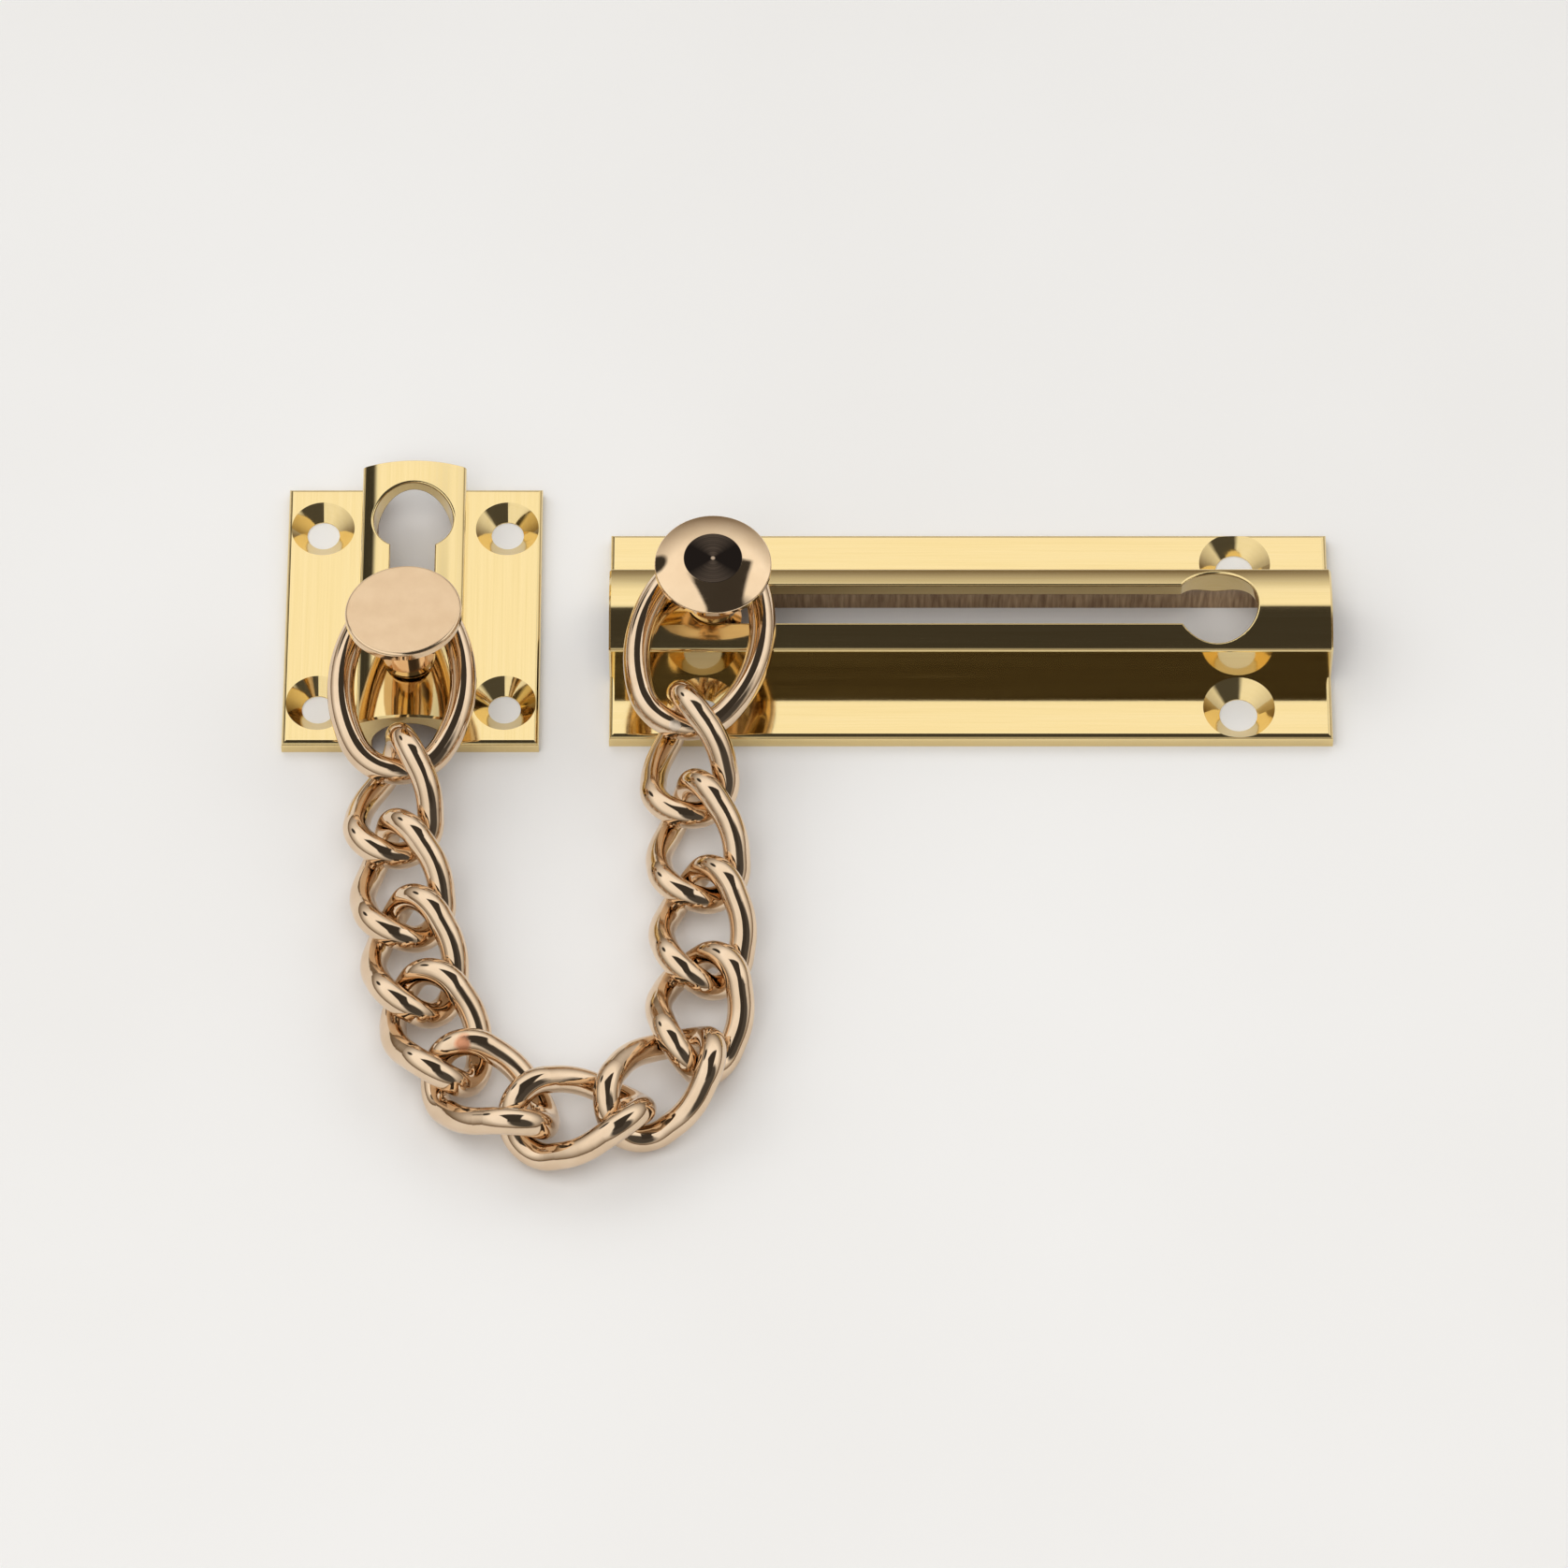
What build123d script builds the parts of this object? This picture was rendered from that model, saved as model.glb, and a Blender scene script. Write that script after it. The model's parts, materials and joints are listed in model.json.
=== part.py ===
from build123d import *
import os
from math import atan2, cos, radians, sin, sqrt, tan

# Millimetres, +Z out of the door, X along the slide track.
# The origin is the middle of the slide track's back face.

# Slide track: a flat plate with a hollow arched bridge along its middle
TRACK_LENGTH = 110.8
TRACK_WIDTH = 37.4
TRACK_PLATE = 2.4
TRACK_BRIDGE = 15.0
TRACK_CHANNEL = 13.2
TRACK_SLOT = 6.8
TRACK_KEYHOLE = 12.6
TRACK_KEYHOLE_FROM_END = 17.7
TRACK_SCREWS_FROM_END = 14.3
TRACK_SCREWS_Y = 26.4
TRACK_SINK = 11.0
TRACK_SCREW_HOLE = 5.8

# Frame plate: a shorter plate with a bridge of its own, open at the front and at the back
FRAME_WIDTH = 39.4
FRAME_LENGTH = 47.1
FRAME_PLATE = 2.2
FRAME_BRIDGE = 16.0
FRAME_CHANNEL = 11.6
FRAME_SLOT = 6.9
FRAME_SLOT_FROM_FRONT = 10.5
FRAME_KEYHOLE = 12.2
FRAME_KEYHOLE_FROM_BACK = 10.35
FRAME_SCREWS_X = 28.6
FRAME_SCREWS_FROM_END = 7.55
FRAME_SINK = 9.8
FRAME_SCREW_HOLE = 5.0

# Both bridges
TRACK_CREST = 11.7
FRAME_CREST = 10.3
RISE = 2.0
WALL = 2.1
SHOULDER_ROUND = 0.8
BRIDGE_END_BEVEL = 0.3
SLOT_ROUND = 0.3
PLATE_ROUND = 0.8
SINK_LIP = 0.2

# Knobs
KNOB_FROM_END = 16.0
FOOT_D = 8.6
FOOT_ROUND = 0.7
FOOT_CLEAR = 0.5
STEM_D = 5.6
COLLAR_D = 8.0
COLLAR_H = 0.9
COLLAR_CLEAR = 0.4
NECK_D = 5.5
CONE_START_D = 6.5
CONE_START_Z = 18.0
SLIDE_RIM_Z = 21.5
SLIDE_RIM_H = 0.8
SLIDE_HEAD_D = 17.8
SLIDE_CROWN = 2.2
SLIDE_FLAT_D = 8.8
SLIDE_HEAD_ROUND = 0.25
FRAME_RIM_Z = 20.4
FRAME_RIM_H = 1.4
FRAME_HEAD_D = 17.8
FRAME_HEAD_ROUND = 0.5
FRAME_LEAN_BACK = 7
FRAME_LEAN_LEFT = 3

# Chain wire, links and the two end rings
WIRE = 4.1
LINK_LENGTH = 23.8
LINK_SIDE = 6.6
LINK_END = 6.5
LINK_TWIST = 56
LINK_SIDE_ROUND = 12.0
RING_LENGTH = 32.0
RING_WIDTH = 22.7
RING_END_ROUND = 7.6
WIRE_CLEAR = 0.35
NECK_CLEAR = 0.45

# How the chain lies: heading, pitch and roll in degrees, then slack and lift in millimetres
SLIDE_RING_Z = 14.8
SLIDE_RING_LIE = (-104, -11, -3)
LINK_LIES = [
    (-84, -10, 42, 0.8, 0.2),
    (-84, -3, 26, 0.6, 0.2),
    (-88, -1, 9, 0.6, 0.0),
    (-95, 0, -7, 0.6, 0.0),
    (-135, -4, -3, 0.4, 1.2),
    (-176, -4, 2, 0.4, 1.2),
    (-217, -4, 6, 0.4, 1.2),
    (-248, -1, 0, 0.9, 0.8),
    (-260, 1, -11, 2.0, 0.2),
    (-260, 2, -23, 2.2, 0.1),
    (-272, 5, -36, 0.7, 0.1),
]
FRAME_RING_LIE = (-273, 13, 2, 1.3, 0.1)
FRAME_NECK_IN_RING = 6.4
FRAME_NECK_ASIDE = 0.6

KNOB_X = KNOB_FROM_END - TRACK_LENGTH / 2
KEYHOLE_X = TRACK_LENGTH / 2 - TRACK_KEYHOLE_FROM_END
TRACK_SCREWS_X = TRACK_LENGTH - 2 * TRACK_SCREWS_FROM_END
FRAME_SCREWS_Y = FRAME_LENGTH - 2 * FRAME_SCREWS_FROM_END
HALF_LINK = (LINK_LENGTH - WIRE) / 2
HALF_RING = (RING_LENGTH - WIRE) / 2
RING_SIDE = (RING_WIDTH - WIRE) / 2


def arch_radius(width):
    return ((width / 2) ** 2 + RISE ** 2) / (2 * RISE)


def arched_bar(width, radius, crest, length):
    """Bar along X with a flat foot and an arched top."""
    half = width / 2
    shoulder = crest - radius + sqrt(radius ** 2 - half ** 2)
    sides = Polyline((-half, shoulder), (-half, 0), (half, 0), (half, shoulder))
    top = ThreePointArc((half, shoulder), (0, crest), (-half, shoulder))
    return extrude(Plane.YZ * make_face(sides + top), length / 2, both=True)


def channel_spring(crest, channel):
    """Height at which a channel's straight sides turn into its half round roof."""
    return crest - WALL - channel / 2


def screw_cutter(hole, sink, plate):
    """Straight hole with a cone that opens at the plate's face."""
    cone = Pos(0, 0, SINK_LIP) * Cone(
        hole / 2, sink / 2, plate - SINK_LIP, align=(Align.CENTER, Align.CENTER, Align.MIN)
    )
    return Cylinder(hole / 2, 2 * plate) + cone


def rounded_plate(length, width, thickness):
    plate = Box(length, width, thickness, align=(Align.CENTER, Align.CENTER, Align.MIN))
    return fillet(plate.edges().group_by(Axis.Z)[-1], PLATE_ROUND)


def bridge_solid(crest, width, length):
    bar = arched_bar(width, arch_radius(width), crest, length)
    bar = fillet(bar.edges().filter_by(Axis.X).group_by(Axis.Z)[-1], SHOULDER_ROUND)
    ends = bar.faces().filter_by(Axis.X).edges().filter_by(GeomType.CIRCLE)
    return chamfer(ends, BRIDGE_END_BEVEL)


def bridge_hollow(crest, channel, length):
    return arched_bar(channel, channel / 2, crest - WALL, length)


def key_slot(crest, channel, slot, keyhole, start_x, keyhole_x):
    """Cutter for the roof only: a round-ended slot that opens into the keyhole."""
    roof = channel_spring(crest, channel)
    floor = (Align.CENTER, Align.CENTER, Align.MIN)
    run = Box(keyhole_x - start_x, slot, crest, align=floor)
    cutter = Pos((start_x + keyhole_x) / 2, 0, roof) * run
    cutter += Pos(start_x, 0, roof) * Cylinder(slot / 2, crest, align=floor)
    return cutter + Pos(keyhole_x, 0, roof) * Cylinder(keyhole / 2, crest, align=floor)


def cut_slot(body, cutter, crest, width, keyhole):
    """Cut the roof, then round the edge that the cut leaves on the bridge's outer face."""
    cut = body - cutter
    if width / 2 - SHOULDER_ROUND - keyhole / 2 < SLOT_ROUND:
        return cut
    radius = arch_radius(width)
    rim = []
    for edge in new_edges(body, cutter, combined=cut):
        middle = edge @ 0.5
        if abs(sqrt(middle.Y ** 2 + (middle.Z - crest + radius) ** 2) - radius) < 0.05:
            rim.append(edge)
    return fillet(rim, SLOT_ROUND)


def make_slide_track():
    track = rounded_plate(TRACK_LENGTH, TRACK_WIDTH, TRACK_PLATE)
    track += bridge_solid(TRACK_CREST, TRACK_BRIDGE, TRACK_LENGTH)
    track -= bridge_hollow(TRACK_CREST, TRACK_CHANNEL, TRACK_LENGTH)
    cutter = key_slot(TRACK_CREST, TRACK_CHANNEL, TRACK_SLOT, TRACK_KEYHOLE, KNOB_X, KEYHOLE_X)
    track = cut_slot(track, cutter, TRACK_CREST, TRACK_BRIDGE, TRACK_KEYHOLE)
    screws = GridLocations(TRACK_SCREWS_X, TRACK_SCREWS_Y, 2, 2)
    return track - screws * screw_cutter(TRACK_SCREW_HOLE, TRACK_SINK, TRACK_PLATE)


def make_frame_plate():
    """The plate in its own axes: bridge along X, back edge at +X, origin under the slot's closed end."""
    front = -FRAME_SLOT_FROM_FRONT
    back = front + FRAME_LENGTH
    middle = Pos((front + back) / 2, 0, 0)
    plate = middle * rounded_plate(FRAME_LENGTH, FRAME_WIDTH, FRAME_PLATE)
    keyhole_x = back - FRAME_KEYHOLE_FROM_BACK
    plate += middle * bridge_solid(FRAME_CREST, FRAME_BRIDGE, FRAME_LENGTH)
    plate -= middle * bridge_hollow(FRAME_CREST, FRAME_CHANNEL, FRAME_LENGTH)
    cutter = key_slot(FRAME_CREST, FRAME_CHANNEL, FRAME_SLOT, FRAME_KEYHOLE, 0, keyhole_x)
    plate = cut_slot(plate, cutter, FRAME_CREST, FRAME_BRIDGE, FRAME_KEYHOLE)
    screws = middle * GridLocations(FRAME_SCREWS_Y, FRAME_SCREWS_X, 2, 2)
    return plate - screws * screw_cutter(FRAME_SCREW_HOLE, FRAME_SINK, FRAME_PLATE)


def foot_top(crest, channel, lean):
    """Height of a foot's upper edge, clear of the channel's roof when the knob leans this far."""
    roof = channel_spring(crest, channel) + sqrt((channel / 2) ** 2 - (FOOT_D / 2) ** 2)
    return roof - COLLAR_CLEAR - FOOT_D / 2 * tan(radians(lean))


def make_knob(crest, foot_bottom, foot_top_z, head_d, rim_z, rim_top, crown, flat_d, head_round):
    """Turned knob on the Z axis: foot, stem, collar, neck, cone and a head that is flat in the middle."""
    collar_z = crest + COLLAR_CLEAR
    half = [
        (0, foot_bottom),
        (FOOT_D / 2, foot_bottom),
        (FOOT_D / 2, foot_top_z),
        (STEM_D / 2, foot_top_z),
        (STEM_D / 2, collar_z),
        (COLLAR_D / 2, collar_z),
        (COLLAR_D / 2, collar_z + COLLAR_H),
        (NECK_D / 2, collar_z + COLLAR_H),
        (NECK_D / 2, CONE_START_Z),
        (CONE_START_D / 2, CONE_START_Z),
        (head_d / 2, rim_z),
        (head_d / 2, rim_top),
    ]
    outline = Polyline(*half)
    flat_z = rim_top
    if crown > 0:
        ball = (crown ** 2 + (head_d / 2) ** 2) / (2 * crown)
        centre_z = rim_top + crown - ball
        mid = (head_d + flat_d) / 4
        flat_z = centre_z + sqrt(ball ** 2 - (flat_d / 2) ** 2)
        mid_z = centre_z + sqrt(ball ** 2 - mid ** 2)
        outline += ThreePointArc((head_d / 2, rim_top), (mid, mid_z), (flat_d / 2, flat_z))
    outline += Polyline((flat_d / 2, flat_z), (0, flat_z), (0, foot_bottom))
    knob = revolve(Plane.XZ * make_face(outline), Axis.Z)
    rounds = knob.edges().filter_by(GeomType.CIRCLE)
    knob = fillet(rounds.group_by(Axis.Z)[0], FOOT_ROUND)
    rim = knob.edges().filter_by(GeomType.CIRCLE).filter_by(lambda e: abs(e.radius - head_d / 2) < 0.01)
    return fillet(rim.sort_by(Axis.Z)[-1], head_round)


def rounded_path(points, radii):
    """Open run through the points, each inner corner rounded with its own radius."""
    edges = []
    start = Vector(*points[0])
    for before, corner, after, radius in zip(points, points[1:], points[2:], radii):
        corner = Vector(*corner)
        back = (Vector(*before) - corner).normalized()
        ahead = (Vector(*after) - corner).normalized()
        half_turn = radians(180 - back.get_angle(ahead)) / 2
        reach = radius * tan(half_turn)
        inward = (back + ahead).normalized()
        mid = corner + inward * (radius / cos(half_turn) - radius)
        if (corner + back * reach - start).length > 0.001:
            edges.append(Line(start, corner + back * reach))
        edges.append(ThreePointArc(corner + back * reach, mid, corner + ahead * reach))
        start = corner + ahead * reach
    last = Vector(*points[-1])
    if (last - start).length > 0.001:
        edges.append(Line(start, last))
    return Wire(edges)


def wire_loop(path):
    """Round wire along half a loop, closed by the same half turned about Z."""
    section = Plane(origin=path @ 0, z_dir=path % 0) * Circle(WIRE / 2)
    half = sweep(section, path=path)
    return half + Rot(0, 0, 180) * half


def make_link():
    """Curb link lying along X, each end twisted out of the level."""
    out = LINK_END * cos(radians(LINK_TWIST))
    rise = LINK_END * sin(radians(LINK_TWIST))
    points = [
        (HALF_LINK, 0, 0),
        (HALF_LINK, -out, rise),
        (0, -LINK_SIDE, 0),
        (-HALF_LINK, -out, -rise),
        (-HALF_LINK, 0, 0),
    ]
    along = Vector(-HALF_LINK, out - LINK_SIDE, -rise)
    corner = along.get_angle(Vector(0, out, -rise))
    end_round = LINK_END * tan(radians(corner) / 2)
    return wire_loop(rounded_path(points, [end_round, LINK_SIDE_ROUND, end_round]))


def make_ring():
    """Flat oval ring lying along X: two tight end arcs that run smoothly into two wide side arcs."""
    end_x = HALF_RING - RING_END_ROUND
    narrow = RING_SIDE - RING_END_ROUND
    side_y = (end_x ** 2 - narrow ** 2) / (2 * narrow)
    meet = atan2(side_y, end_x)
    meet_x = end_x + RING_END_ROUND * cos(meet)
    meet_y = -RING_END_ROUND * sin(meet)
    mid_x = end_x + RING_END_ROUND * cos(meet / 2)
    mid_y = -RING_END_ROUND * sin(meet / 2)
    path = Wire(
        [
            ThreePointArc((HALF_RING, 0, 0), (mid_x, mid_y, 0), (meet_x, meet_y, 0)),
            ThreePointArc((meet_x, meet_y, 0), (0, -RING_SIDE, 0), (-meet_x, meet_y, 0)),
            ThreePointArc((-meet_x, meet_y, 0), (-mid_x, mid_y, 0), (-HALF_RING, 0, 0)),
        ]
    )
    return wire_loop(path)


def lie(heading, pitch, roll):
    """Forward and up directions of a link at these angles."""
    h, p, r = radians(heading), radians(pitch), radians(roll)
    forward = Vector(cos(h) * cos(p), sin(h) * cos(p), sin(p))
    level = Vector(-sin(h), cos(h), 0)
    side = level * cos(r) + forward.cross(level) * sin(r)
    return forward, forward.cross(side)


def next_centre(tip, before, forward, half_length, slack, lift):
    """Centre of the piece whose near end hooks the end at tip, and the point between the two ends."""
    pull = before + forward
    pull = Vector(pull.X, pull.Y, 0).normalized()
    near = tip - pull * (WIRE + WIRE_CLEAR + slack) + Vector(0, 0, lift)
    return near + forward * half_length, (tip + near) / 2


def placed(shape, centre, forward, up):
    return Plane(origin=centre, x_dir=forward, z_dir=up).location * shape


# The slide's fixed track and the knob that runs in it
nodes = {}
pivots = {}
nodes["slide_track"] = make_slide_track()
slide_knob = make_knob(
    TRACK_CREST,
    FOOT_CLEAR,
    foot_top(TRACK_CREST, TRACK_CHANNEL, 0),
    SLIDE_HEAD_D,
    SLIDE_RIM_Z,
    SLIDE_RIM_Z + SLIDE_RIM_H,
    SLIDE_CROWN,
    SLIDE_FLAT_D,
    SLIDE_HEAD_ROUND,
)
nodes["slide_knob"] = Pos(KNOB_X, 0, 0) * slide_knob

# The chain, from the ring on the slide knob to the ring on the frame knob
ring = make_ring()
link = make_link()
ahead, up = lie(*SLIDE_RING_LIE)
neck = Vector(KNOB_X, 0, SLIDE_RING_Z)
centre = neck + ahead * (HALF_RING - NECK_D / 2 - WIRE / 2 - NECK_CLEAR)
nodes["slide_ring"] = placed(ring, centre, ahead, up)
pivots["slide_ring"] = neck
tip = centre + ahead * HALF_RING
for number, (heading, pitch, roll, slack, lift) in enumerate(LINK_LIES, 1):
    before = ahead
    ahead, up = lie(heading, pitch, roll)
    name = f"link_{number:02d}"
    centre, pivots[name] = next_centre(tip, before, ahead, HALF_LINK, slack, lift)
    nodes[name] = placed(link, centre, ahead, up)
    tip = centre + ahead * HALF_LINK
before = ahead
ahead, up = lie(*FRAME_RING_LIE[:3])
centre, pivots["frame_ring"] = next_centre(tip, before, ahead, HALF_RING, *FRAME_RING_LIE[3:])
nodes["frame_ring"] = placed(ring, centre, ahead, up)

# The frame's knob and plate, where the chain ends
frame_neck = centre + ahead * FRAME_NECK_IN_RING + ahead.cross(up) * FRAME_NECK_ASIDE
frame_x = frame_neck.X
frame_y = frame_neck.Y
frame_tilt = FRAME_LEAN_BACK + FRAME_LEAN_LEFT
frame_knob = make_knob(
    FRAME_CREST,
    FOOT_CLEAR + FOOT_D / 2 * tan(radians(frame_tilt)),
    foot_top(FRAME_CREST, FRAME_CHANNEL, frame_tilt),
    FRAME_HEAD_D,
    FRAME_RIM_Z,
    FRAME_RIM_Z + FRAME_RIM_H,
    0,
    FRAME_HEAD_D,
    FRAME_HEAD_ROUND,
)
lean = Pos(0, 0, FRAME_CREST) * Rot(-FRAME_LEAN_BACK, -FRAME_LEAN_LEFT, 0) * Pos(0, 0, -FRAME_CREST)
nodes["frame_knob"] = Pos(frame_x, frame_y, 0) * lean * frame_knob
nodes["frame_plate"] = Pos(frame_x, frame_y, 0) * Rot(0, 0, 90) * make_frame_plate()

os.makedirs("parts", exist_ok=True)
for name, shape in nodes.items():
    export_step(shape, f"parts/{name}.step")
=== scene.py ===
import json
import math
from types import SimpleNamespace

import bpy
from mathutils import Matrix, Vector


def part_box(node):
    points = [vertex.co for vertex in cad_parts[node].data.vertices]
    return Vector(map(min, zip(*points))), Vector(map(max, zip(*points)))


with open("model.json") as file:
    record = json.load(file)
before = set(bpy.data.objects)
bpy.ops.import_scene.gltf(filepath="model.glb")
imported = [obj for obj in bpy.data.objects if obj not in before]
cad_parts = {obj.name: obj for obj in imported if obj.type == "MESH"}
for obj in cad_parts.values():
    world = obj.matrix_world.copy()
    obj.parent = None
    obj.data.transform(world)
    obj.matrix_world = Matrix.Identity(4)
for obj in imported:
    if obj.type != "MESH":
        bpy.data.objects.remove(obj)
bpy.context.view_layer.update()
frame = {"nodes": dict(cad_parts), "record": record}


# The slide track: a long plate of yellow brass drawn in one length with its hollow arched bridge.
# Its faces are polished along the length, which leaves fine lines, the four screw holes are
# countersunk on a drill, and the inside of the channel keeps the brown skin of the metal.
def put(tree, kind, sockets=None, **settings):
    node = tree.nodes.new(kind)
    for key, value in settings.items():
        setattr(node, key, value)
    for key, value in (sockets or {}).items():
        if isinstance(value, bpy.types.NodeSocket):
            tree.links.new(value, node.inputs[key])
        else:
            node.inputs[key].default_value = value
    return node


def sums(tree, operation, first, second=0.0):
    return put(tree, "ShaderNodeMath", {0: first, 1: second}, operation=operation).outputs[0]


def vectors(tree, operation, first, second):
    return put(tree, "ShaderNodeVectorMath", {0: first, 1: second}, operation=operation).outputs[0]


def noise(tree, place, scale, detail):
    sockets = {"Vector": place, "Scale": scale, "Detail": detail}
    return put(tree, "ShaderNodeTexNoise", sockets).outputs["Fac"]


def ramp(tree, factor, *stops):
    node = put(tree, "ShaderNodeValToRGB", {"Fac": factor})
    while len(node.color_ramp.elements) < len(stops):
        node.color_ramp.elements.new(0.5)
    for element, (position, colour) in zip(node.color_ramp.elements, stops):
        element.position = position
        element.color = (*colour, 1.0)
    return node.outputs["Color"]


def spread(tree, value, low, high, new_low, new_high):
    sockets = {"Value": value, "From Min": low, "From Max": high, "To Min": new_low, "To Max": new_high}
    return put(tree, "ShaderNodeMapRange", sockets).outputs["Result"]


def mixed(tree, factor, first, second):
    sockets = {"Factor": factor, "A": first, "B": second}
    return put(tree, "ShaderNodeMix", sockets, data_type="FLOAT").outputs["Result"]


def tinted(tree, factor, first, second):
    node = put(tree, "ShaderNodeMix", data_type="RGBA")
    for socket, value in zip((node.inputs[0], node.inputs[6], node.inputs[7]), (factor, first, second)):
        if isinstance(value, bpy.types.NodeSocket):
            tree.links.new(value, socket)
        elif socket.type == "RGBA":
            socket.default_value = (*value, 1.0)
        else:
            socket.default_value = value
    return node.outputs[2]


def new_metal(name):
    metal = bpy.data.materials.new(name)
    metal.use_nodes = True
    tree = metal.node_tree
    shader = tree.nodes["Principled BSDF"]
    shader.inputs["Metallic"].default_value = 1.0
    return metal, tree, shader


def finish_metal(tree, shader, colour, roughness, height, strength, depth):
    tree.links.new(colour, shader.inputs["Base Color"])
    tree.links.new(roughness, shader.inputs["Roughness"])
    bump = put(tree, "ShaderNodeBump", {"Height": height, "Strength": strength, "Distance": depth})
    tree.links.new(bump.outputs["Normal"], shader.inputs["Normal"])


def hypotenuse(tree, first, second):
    squares = sums(tree, "ADD", sums(tree, "POWER", first, 2.0), sums(tree, "POWER", second, 2.0))
    return sums(tree, "SQRT", squares)


DRILL_LINES = 6500.0
SKIN_DEPTH = 0.0001
SKIN_ROUGHNESS = 0.40
BRUSH_DEPTH = 0.00001


def brushed_brass(
    name, middle, lines, comb, hole_places, hole_radius, across, channel_radius, channel_spring
):
    metal, tree, shader = new_metal(name)
    object_place = put(tree, "ShaderNodeTexCoord").outputs["Object"]
    place = vectors(tree, "SUBTRACT", object_place, middle)
    axes = put(tree, "ShaderNodeSeparateXYZ", {0: place}).outputs

    # Brush lines on the flats, and the drill's circles in the countersinks
    fine = vectors(tree, "MULTIPLY", place, lines)
    fine_lines = noise(tree, fine, 1.0, 3.0)
    broad_lines = noise(tree, vectors(tree, "MULTIPLY", fine, (0.3, 0.12, 0.12)), 1.0, 2.0)
    from_x = sums(tree, "SUBTRACT", sums(tree, "ABSOLUTE", axes["X"]), hole_places[0])
    from_y = sums(tree, "SUBTRACT", sums(tree, "ABSOLUTE", axes["Y"]), hole_places[1])
    off_hole = hypotenuse(tree, from_x, from_y)
    in_hole = sums(tree, "LESS_THAN", off_hole, hole_radius)
    turns = sums(tree, "MULTIPLY", off_hole, DRILL_LINES)
    circles = put(tree, "ShaderNodeCombineXYZ", {"X": turns}).outputs[0]
    marks = mixed(tree, in_hole, fine_lines, noise(tree, circles, 1.0, 2.0))

    # The brown skin inside the channel
    over_spring = sums(tree, "MAXIMUM", sums(tree, "SUBTRACT", axes["Z"], channel_spring), 0.0)
    off_channel = hypotenuse(tree, axes[across], over_spring)
    inside = sums(tree, "LESS_THAN", off_channel, channel_radius + SKIN_DEPTH)
    skin = noise(tree, vectors(tree, "MULTIPLY", place, comb), 1.0, 5.0)

    level = sums(tree, "ADD", sums(tree, "MULTIPLY", marks, 0.6), sums(tree, "MULTIPLY", broad_lines, 0.4))
    brass = ramp(
        tree,
        level,
        (0.32, (0.82, 0.635, 0.30)),
        (0.50, (0.845, 0.665, 0.33)),
        (0.68, (0.865, 0.69, 0.36)),
    )
    brown = ramp(tree, skin, (0.30, (0.24, 0.15, 0.085)), (0.70, (0.55, 0.39, 0.24)))
    colour = tinted(tree, inside, brass, brown)
    polish = spread(tree, level, 0.3, 0.7, 0.05, 0.12)
    roughness = mixed(tree, inside, polish, SKIN_ROUGHNESS)
    finish_metal(tree, shader, colour, roughness, mixed(tree, inside, marks, skin), 0.05, BRUSH_DEPTH)
    return metal


def dress(node, metal):
    piece = frame["nodes"][node]
    piece.data.materials.clear()
    piece.data.materials.append(metal)


track_brass = brushed_brass(
    "track_brass",
    middle=(0.0, 0.0, 0.0),
    lines=(60.0, 5200.0, 5200.0),
    comb=(1700.0, 160.0, 160.0),
    hole_places=(0.0411, 0.0132),
    hole_radius=0.0055,
    across="Y",
    channel_radius=0.0066,
    channel_spring=0.0030,
)
dress("slide_track", track_brass)


# The slide knob: turned from bronze bar in one piece, with a low polished dome. The flat in its
# middle, cut last, keeps the lathe's rings and a centre mark. It is painted near black, partly its dark
# tarnish and partly a painted dark reflection of the open top. Its two paler fans, front and back, are a
# painted reflection. Its foot is held in the track's channel.
LATHE_LINES = 5200.0
LATHE_DEPTH = 0.00001
LATHE_STRENGTH = 0.08


def turned_bronze(name, axis_foot, axis):
    metal, tree, shader = new_metal(name)
    place = put(tree, "ShaderNodeTexCoord").outputs["Object"]
    offset = vectors(tree, "SUBTRACT", place, axis_foot)
    up = put(tree, "ShaderNodeVectorMath", {0: offset, 1: axis}, operation="DOT_PRODUCT").outputs["Value"]
    along = put(tree, "ShaderNodeVectorMath", {0: axis, "Scale": up}, operation="SCALE").outputs[0]
    away = vectors(tree, "SUBTRACT", offset, along)
    radius = put(tree, "ShaderNodeVectorMath", {0: away}, operation="LENGTH").outputs["Value"]
    out_lines = sums(tree, "MULTIPLY", radius, LATHE_LINES)
    up_lines = sums(tree, "MULTIPLY", up, LATHE_LINES)
    circles = put(tree, "ShaderNodeCombineXYZ", {"X": out_lines, "Y": up_lines}).outputs[0]
    rings = noise(tree, circles, 1.0, 3.0)
    waves = noise(tree, place, 240.0, 2.0)
    colour = ramp(
        tree,
        waves,
        (0.30, (0.80, 0.595, 0.385)),
        (0.50, (0.83, 0.625, 0.41)),
        (0.70, (0.86, 0.66, 0.445)),
    )
    polish = spread(tree, rings, 0.3, 0.7, 0.03, 0.09)
    return SimpleNamespace(
        metal=metal, tree=tree, shader=shader, place=place, away=away, up=up,
        radius=radius, rings=rings, colour=colour, polish=polish,
    )


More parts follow.
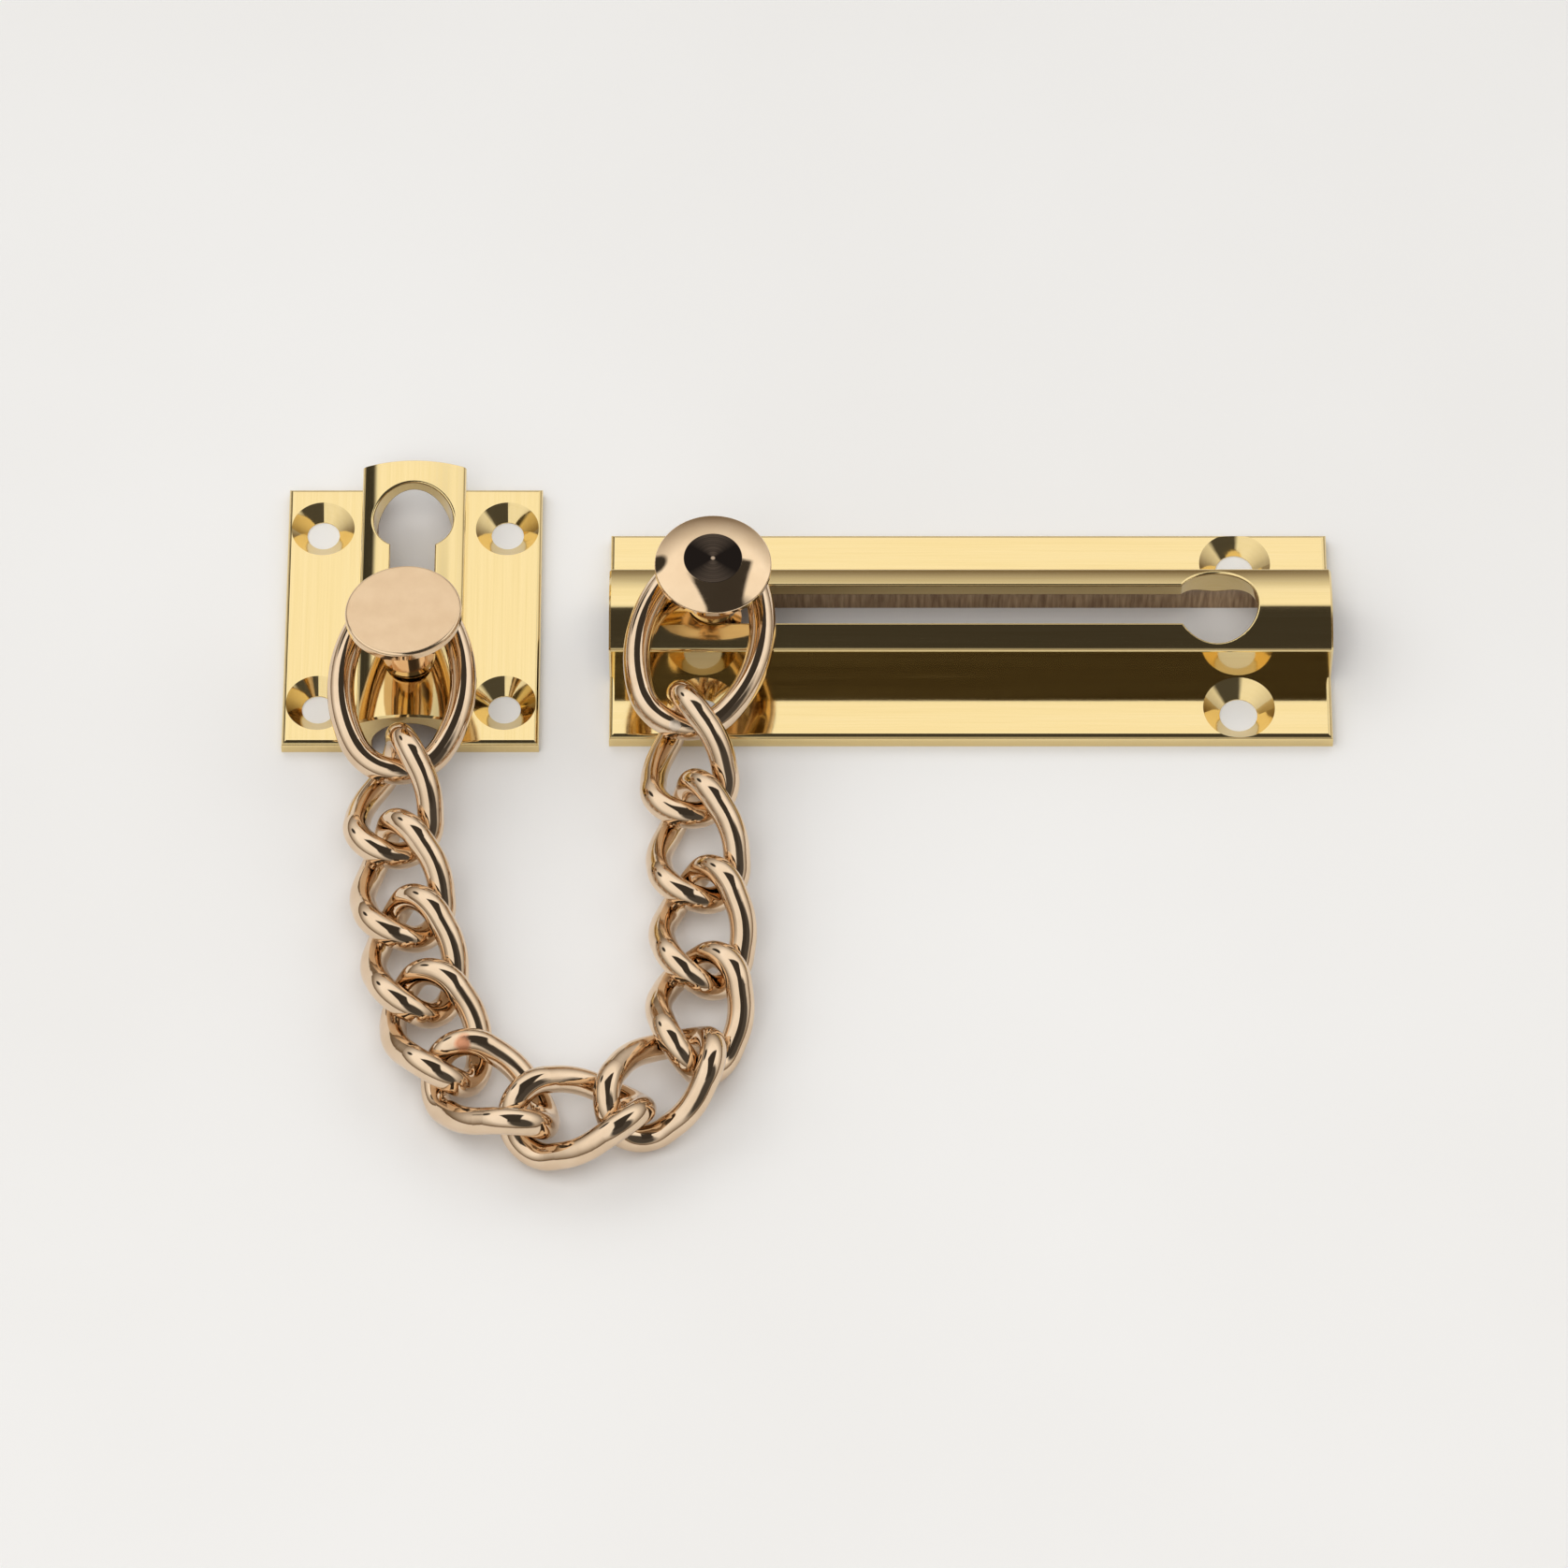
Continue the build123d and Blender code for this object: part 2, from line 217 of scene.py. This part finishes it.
FLAT_RADIUS = 0.0044
FLAT_EDGE = 0.0001
FLAT_DEPTH = 0.0005
FLAT_ROUGHNESS = 0.30
FLAT_RINGS = 5.0
CENTRE_MARK = 0.0002
slide_low, slide_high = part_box("slide_knob")
slide_foot = ((slide_low.x + slide_high.x) / 2, (slide_low.y + slide_high.y) / 2, 0.0)
slide = turned_bronze("slide_knob_bronze", slide_foot, (0.0, 0.0, 1.0))
tree = slide.tree
on_top = sums(tree, "GREATER_THAN", slide.up, slide_high.z - FLAT_DEPTH)
within_flat = spread(tree, slide.radius, FLAT_RADIUS, FLAT_RADIUS + FLAT_EDGE, 1.0, 0.0)
on_flat = sums(tree, "MULTIPLY", on_top, within_flat)
front_to_back = sums(tree, "ABSOLUTE", put(tree, "ShaderNodeSeparateXYZ", {0: slide.away}).outputs["Y"])
# Painted reflection: two paler fans on the flat, towards the front and the back, streaked by the lathe's
# rings.
painted_fan_mask = spread(tree, sums(tree, "DIVIDE", front_to_back, slide.radius), 0.55, 1.0, 0.0, 1.0)
painted_fan_reflection = sums(tree, "MULTIPLY", painted_fan_mask, spread(tree, slide.rings, 0.35, 0.65, 0.5, 1.0))
# The flat is painted near black, partly tarnish and partly painted dark reflection, with the painted fans
# lighter.
flat_tarnish_and_painted_reflection = ramp(tree, painted_fan_reflection, (0.0, (0.016, 0.012, 0.010)), (1.0, (0.095, 0.07, 0.052)))
centre_mark = spread(tree, slide.radius, CENTRE_MARK, 2 * CENTRE_MARK, 1.0, 0.0)
flat_tarnish_and_painted_reflection = tinted(tree, centre_mark, flat_tarnish_and_painted_reflection, (0.55, 0.42, 0.30))
slide_colour = tinted(tree, on_flat, slide.colour, flat_tarnish_and_painted_reflection)
slide_roughness = mixed(tree, on_flat, slide.polish, FLAT_ROUGHNESS)
slide_height = sums(tree, "MULTIPLY", slide.rings, mixed(tree, on_flat, 1.0, FLAT_RINGS))
finish_metal(tree, slide.shader, slide_colour, slide_roughness, slide_height, LATHE_STRENGTH, LATHE_DEPTH)
dress("slide_knob", slide.metal)


# The chain's links and its two end rings: round bronze wire, bent, twisted and brazed shut,
# then barrel polished together, so they are bright all over with a faint waviness left.
# Two of them keep a mark of the torch: a rosy spot of braze, and a small pale spot.
WAVE_DEPTH = 0.00012
BRAZE_RAGGED = 0.0004
BRAZE_ROUGHNESS = 0.34
LINKS = 11
BRAZED_LINK = 7


def polished_bronze(name, spot=None, spot_radius=0.0, spot_colour=(0.0, 0.0, 0.0)):
    metal, tree, shader = new_metal(name)
    place = put(tree, "ShaderNodeTexCoord").outputs["Object"]
    waves = noise(tree, place, 260.0, 2.0)
    grain = noise(tree, place, 2600.0, 4.0)
    colour = ramp(
        tree,
        waves,
        (0.30, (0.74, 0.56, 0.385)),
        (0.50, (0.785, 0.60, 0.42)),
        (0.70, (0.82, 0.64, 0.46)),
    )
    roughness = spread(tree, grain, 0.3, 0.7, 0.03, 0.08)
    height = sums(tree, "ADD", waves, sums(tree, "MULTIPLY", grain, 0.04))
    if spot:
        apart = put(tree, "ShaderNodeVectorMath", {0: place, 1: spot}, operation="DISTANCE")
        edge = spread(tree, waves, 0.3, 0.7, -BRAZE_RAGGED, BRAZE_RAGGED)
        ragged = sums(tree, "ADD", apart.outputs["Value"], edge)
        braze = spread(tree, ragged, spot_radius * 0.6, spot_radius, 1.0, 0.0)
        colour = tinted(tree, braze, colour, spot_colour)
        roughness = mixed(tree, braze, roughness, BRAZE_ROUGHNESS)
        lumps = sums(tree, "MULTIPLY", sums(tree, "MULTIPLY", braze, grain), 0.5)
        height = sums(tree, "ADD", height, lumps)
    finish_metal(tree, shader, colour, roughness, height, 0.25, WAVE_DEPTH)
    return metal


chain_bronze = polished_bronze("chain_bronze")
brazed_bronze = polished_bronze(
    "brazed_bronze",
    spot=(-0.07630, -0.07715, 0.01005),
    spot_radius=0.0015,
    spot_colour=(0.78, 0.36, 0.20),
)
struck_bronze = polished_bronze(
    "struck_bronze",
    spot=(-0.04526, -0.02253, 0.01225),
    spot_radius=0.0010,
    spot_colour=(0.86, 0.72, 0.58),
)
for number in range(1, LINKS + 1):
    dress("link_%02d" % number, brazed_bronze if number == BRAZED_LINK else chain_bronze)
dress("slide_ring", struck_bronze)
dress("frame_ring", chain_bronze)


# The frame knob: the same turned bronze, but with a flat head. The flat is rubbed satin on fine paper
# and the rim round it is left polished. It leans back and a little to the left in its slot.
all_joints = frame["record"]["behaviour"]["joints"]
frame_turn = next(joint for joint in all_joints if joint["name"] == "frame_knob_turn")
LEAN_BACK = math.radians(7.0)
LEAN_LEFT = math.radians(3.0)
HEAD_TOP = 0.0218
SATIN_DEPTH = 0.00004
frame_axis = (
    -math.sin(LEAN_LEFT),
    math.sin(LEAN_BACK) * math.cos(LEAN_LEFT),
    math.cos(LEAN_BACK) * math.cos(LEAN_LEFT),
)
turn_place = frame_turn["pos_m"]
frame_foot = tuple(spot - turn_place[2] * way for spot, way in zip(turn_place, frame_axis))
knob = turned_bronze("frame_knob_bronze", frame_foot, frame_axis)
tree = knob.tree
rubbed = noise(tree, knob.place, 5200.0, 4.0)
clouds = noise(tree, knob.place, 330.0, 3.0)
satin = sums(tree, "GREATER_THAN", knob.up, HEAD_TOP - SATIN_DEPTH)
satin_colour = ramp(tree, clouds, (0.30, (0.82, 0.595, 0.375)), (0.70, (0.88, 0.655, 0.425)))
frame_colour = tinted(tree, satin, knob.colour, satin_colour)
frame_roughness = mixed(tree, satin, knob.polish, spread(tree, rubbed, 0.3, 0.7, 0.30, 0.42))
frame_height = mixed(tree, satin, knob.rings, rubbed)
finish_metal(tree, knob.shader, frame_colour, frame_roughness, frame_height, LATHE_STRENGTH, LATHE_DEPTH)
dress("frame_knob", knob.metal)


# The frame plate: a short plate of the same yellow brass with a bridge of its own from edge to edge,
# open at both ends. It is polished the other way, front to back, along its bridge.
plate_low, plate_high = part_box("frame_plate")
plate_brass = brushed_brass(
    "plate_brass",
    middle=((plate_low.x + plate_high.x) / 2, (plate_low.y + plate_high.y) / 2, 0.0),
    lines=(5200.0, 60.0, 5200.0),
    comb=(160.0, 1700.0, 160.0),
    hole_places=(0.0143, 0.0160),
    hole_radius=0.0049,
    across="X",
    channel_radius=0.0058,
    channel_spring=0.0024,
)
dress("frame_plate", plate_brass)


# The table that the pieces lie on: a wide sheet of pale paper, a little warm, faintly mottled.
# It is no part of the door chain, and only catches its shadow.
TABLE_SIZE = 6.0
PAPER_ROUGHNESS = 0.9
bpy.ops.mesh.primitive_plane_add(size=TABLE_SIZE, location=(0.0, 0.0, 0.0))
table_top = bpy.context.object
table_top.name = "table_top"
table_paper = bpy.data.materials.new("table_paper")
table_paper.use_nodes = True
paper_tree = table_paper.node_tree
paper_place = put(paper_tree, "ShaderNodeTexCoord").outputs["Object"]
paper_cloud = noise(paper_tree, paper_place, 9.0, 3.0)
paper_white = ramp(paper_tree, paper_cloud, (0.30, (0.90, 0.892, 0.88)), (0.70, (0.93, 0.926, 0.918)))
paper_shader = paper_tree.nodes["Principled BSDF"]
paper_tree.links.new(paper_white, paper_shader.inputs["Base Color"])
paper_shader.inputs["Roughness"].default_value = PAPER_ROUGHNESS
table_top.data.materials.append(table_paper)


# The light: a white tent, open overhead so that polished metal shows one long dark shape, with a brown
# wall low down all round, a dim doorway in front on the right and a dark post far back on the left.
# Two soft lamps that the metal doesn't show reach down into the slots and the screw holes.
WALL_BROWN = (0.17, 0.13, 0.09)
DOORWAY_GREY = (0.07, 0.066, 0.062)
POST_GREY = (0.04, 0.038, 0.035)
OPENING_GREY = (0.045, 0.041, 0.037)
OPENING_SLANT = 0.35
TENT_STRENGTH = 1.15


def degrees(*angles):
    return [math.radians(angle) for angle in angles]


studio = bpy.data.worlds.new("studio")
studio.use_nodes = True
bpy.context.scene.world = studio
sky = studio.node_tree
sky_way = put(sky, "ShaderNodeTexCoord").outputs["Generated"]
sky_axes = put(sky, "ShaderNodeSeparateXYZ", {0: sky_way}).outputs
from_back = sums(sky, "ARCTAN2", sky_axes["Z"], sky_axes["Y"])
aside = sums(sky, "ARCSINE", sky_axes["X"])
middle = spread(sky, from_back, *degrees(62.0, 108.0, 2.0, 10.0))
half_wide = spread(sky, from_back, *degrees(62.0, 108.0, 28.0, 16.0))
off_middle = sums(sky, "ABSOLUTE", sums(sky, "SUBTRACT", aside, middle))
past_side = sums(sky, "SUBTRACT", off_middle, half_wide)
between = spread(sky, past_side, *degrees(-1.5, 1.5), 1.0, 0.0)
slanted = sums(sky, "ADD", from_back, sums(sky, "MULTIPLY", aside, OPENING_SLANT))
past_back = spread(sky, slanted, *degrees(61.0, 64.5), 0.0, 1.0)
short_of_front = spread(sky, from_back, *degrees(123.0, 131.0), 1.0, 0.0)
opening = sums(sky, "MULTIPLY", between, sums(sky, "MULTIPLY", past_back, short_of_front))


def sky_patch(way, inner, outer):
    near = put(sky, "ShaderNodeVectorMath", {0: sky_way, 1: way}, operation="DOT_PRODUCT").outputs["Value"]
    faint, full = [math.cos(angle) for angle in degrees(outer, inner)]
    return spread(sky, near, faint, full, 0.0, 1.0)


doorway = sky_patch((0.46, -0.60, 0.65), 26.0, 36.0)
post = sky_patch((-0.69, 0.53, 0.50), 5.0, 9.0)
round_tent = sums(sky, "DIVIDE", from_back, math.pi)
tent = ramp(
    sky,
    round_tent,
    (0.0, (0.84, 0.83, 0.81)),
    (0.30, (1.0, 0.99, 0.97)),
    (0.37, (1.0, 0.99, 0.97)),
    (1.0, (0.82, 0.81, 0.79)),
)
lower_wall = spread(sky, sky_axes["Z"], 0.05, 0.62, 1.0, 0.0)
for patch, patch_colour in (
    (lower_wall, WALL_BROWN),
    (doorway, DOORWAY_GREY),
    (post, POST_GREY),
    (opening, OPENING_GREY),
):
    tent = tinted(sky, patch, tent, patch_colour)
sky.links.new(tent, sky.nodes["Background"].inputs["Color"])
sky.nodes["Background"].inputs["Strength"].default_value = TENT_STRENGTH


def soft_lamp(name, place, turn, size, energy):
    bpy.ops.object.light_add(type="AREA", location=place, rotation=turn)
    lamp = bpy.context.object
    lamp.name = name
    lamp.data.size = size
    lamp.data.energy = energy
    lamp.visible_glossy = False


soft_lamp("top_lamp", place=(0.0, -0.45, 1.15), turn=degrees(21.0, 0.0, 0.0), size=1.0, energy=5.7)
soft_lamp("left_lamp", place=(-0.9, 0.5, 0.8), turn=degrees(-28.0, -48.0, 0.0), size=0.8, energy=1.5)


# The camera: far off with a long lens, looking down at the pieces from the front.
# Its height, distance and lens are those at which the plates show their true outlines.
EYE_HEIGHT = math.radians(58.0)
EYE_FAR = 1.4
AIM = (-0.0286, -0.0255, 0.0)
SENSOR = 36.0
LENS_PIXELS = 9800.0
PICTURE_PIXELS = 1676.0
bpy.ops.object.camera_add(
    location=(AIM[0], AIM[1] - EYE_FAR * math.cos(EYE_HEIGHT), AIM[2] + EYE_FAR * math.sin(EYE_HEIGHT)),
    rotation=(math.radians(90.0) - EYE_HEIGHT, 0.0, 0.0),
)
eye = bpy.context.object
eye.name = "eye"
eye.data.sensor_width = SENSOR
eye.data.lens = SENSOR * LENS_PIXELS / PICTURE_PIXELS
eye.data.clip_start = 0.01
bpy.context.scene.camera = eye
bpy.context.scene.view_settings.view_transform = "Standard"
